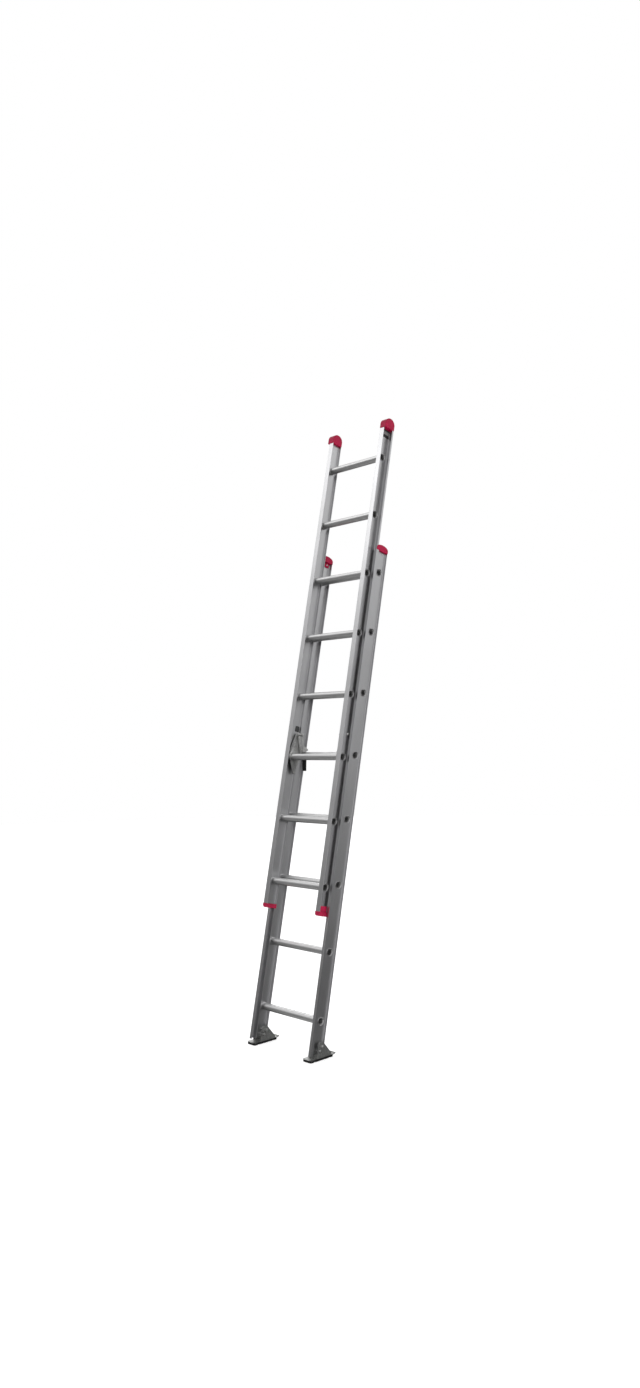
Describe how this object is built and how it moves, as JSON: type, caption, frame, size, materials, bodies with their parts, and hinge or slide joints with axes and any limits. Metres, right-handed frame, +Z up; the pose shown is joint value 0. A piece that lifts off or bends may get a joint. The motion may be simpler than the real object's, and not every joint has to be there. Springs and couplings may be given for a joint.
{
  "type": "extension ladder",
  "caption": "Two-section sliding extension ladder with D-shaped rungs, rung locks, end caps and tilting shoes, leaning at its working angle.",
  "frame": {"origin": "on the ground, midway between the two shoe pivots and plumb below them", "axes": "+Z up, +Y back towards the wall that the ladder leans on, +X to the right of a climber facing the ladder; the rails rise along +Z and +Y at 78 degrees to the ground"},
  "size_m": [0.4438, 0.6571, 3.0413],
  "materials": {
    "mill_aluminium": "extruded mill finish, fine lines along the length",
    "red_end_cap": "moulded crimson plastic, low sheen",
    "shoe_rubber": "moulded tread rubber",
    "shoe_steel": "stamped plated steel, dull",
    "fastener_steel": "zinc plated",
    "lock_steel": "stamped, zinc plated",
    "black_finger": "black moulded",
    "dark_keeper": "dark moulded",
    "blank_label": "printed film, unlettered"
  },
  "bodies": {
    "base_section": {"base_rail_left": "mill_aluminium", "base_rail_right": "mill_aluminium", "base_rung_1": "mill_aluminium", "base_rung_2": "mill_aluminium", "base_rung_3": "mill_aluminium", "base_rung_4": "mill_aluminium", "base_rung_5": "mill_aluminium", "base_rung_6": "mill_aluminium", "base_rung_7": "mill_aluminium", "base_rung_8": "mill_aluminium", "base_top_cap_left": "red_end_cap", "base_top_cap_right": "red_end_cap", "base_cap_rivet_left": "mill_aluminium", "base_cap_rivet_right": "mill_aluminium", "shoe_pivot_bolt_left": "fastener_steel", "shoe_pivot_bolt_right": "fastener_steel", "shoe_pivot_nut_left": "fastener_steel", "shoe_pivot_nut_right": "fastener_steel", "shoe_guide_stud_left": "fastener_steel", "shoe_guide_stud_right": "fastener_steel", "shoe_stud_nut_left": "fastener_steel", "shoe_stud_nut_right": "fastener_steel"},
    "fly_section": {"fly_rail_left": "mill_aluminium", "fly_rail_right": "mill_aluminium", "fly_rung_1": "mill_aluminium", "fly_rung_2": "mill_aluminium", "fly_rung_3": "mill_aluminium", "fly_rung_4": "mill_aluminium", "fly_rung_5": "mill_aluminium", "fly_rung_6": "mill_aluminium", "fly_rung_7": "mill_aluminium", "fly_rung_8": "mill_aluminium", "fly_top_cap_left": "red_end_cap", "fly_top_cap_right": "red_end_cap", "fly_bottom_cap_left": "red_end_cap", "fly_bottom_cap_right": "red_end_cap", "fly_label": "blank_label", "lock_housing_left": "lock_steel", "lock_housing_right": "lock_steel", "lock_bolt_left": "fastener_steel", "lock_bolt_right": "fastener_steel", "lock_nut_left": "fastener_steel", "lock_nut_right": "fastener_steel", "lock_spring_left": "fastener_steel", "lock_spring_right": "fastener_steel", "lock_keeper_left": "dark_keeper", "lock_keeper_right": "dark_keeper", "finger_pin_left": "fastener_steel", "finger_pin_right": "fastener_steel"},
    "shoe_left": {"shoe_bracket_left": "shoe_steel", "shoe_pad_left": "shoe_rubber"},
    "lock_pawl_left": {"lock_pawl_left": "lock_steel"},
    "lock_finger_left": {"lock_finger_left": "black_finger"},
    "shoe_right": {"shoe_bracket_right": "shoe_steel", "shoe_pad_right": "shoe_rubber"},
    "lock_pawl_right": {"lock_pawl_right": "lock_steel"},
    "lock_finger_right": {"lock_finger_right": "black_finger"}
  },
  "joints": [
    {"name": "fly_slide", "type": "slide", "parent": "base_section", "child": "fly_section", "axis": [0, 0.2079, 0.9781], "range_m": [-0.6096, 0.9144]},
    {"name": "shoe_tilt_left", "type": "hinge", "parent": "base_section", "child": "shoe_left", "pos_m": [-0.1888, 0, 0.058], "axis": [1, 0, 0], "range_deg": [-8, 25]},
    {"name": "lock_swing_left", "type": "hinge", "parent": "fly_section", "child": "lock_pawl_left", "pos_m": [-0.14575, 0.23511, 1.45586], "axis": [-1, 0, 0], "range_deg": [0, 30], "stiffness_Nm_per_rad": 0.1, "springref_deg": -34.38},
    {"name": "finger_swing_left", "type": "hinge", "parent": "fly_section", "child": "lock_finger_left", "pos_m": [-0.1205, 0.23492, 1.35877], "axis": [1, 0, 0], "range_deg": [-20, 40]},
    {"name": "shoe_tilt_right", "type": "hinge", "parent": "base_section", "child": "shoe_right", "pos_m": [0.1888, 0, 0.058], "axis": [1, 0, 0], "range_deg": [-8, 25]},
    {"name": "lock_swing_right", "type": "hinge", "parent": "fly_section", "child": "lock_pawl_right", "pos_m": [0.14575, 0.23511, 1.45586], "axis": [-1, 0, 0], "range_deg": [0, 30], "stiffness_Nm_per_rad": 0.1, "springref_deg": -34.38},
    {"name": "finger_swing_right", "type": "hinge", "parent": "fly_section", "child": "lock_finger_right", "pos_m": [0.1205, 0.23492, 1.35877], "axis": [1, 0, 0], "range_deg": [-20, 40]}
  ]
}
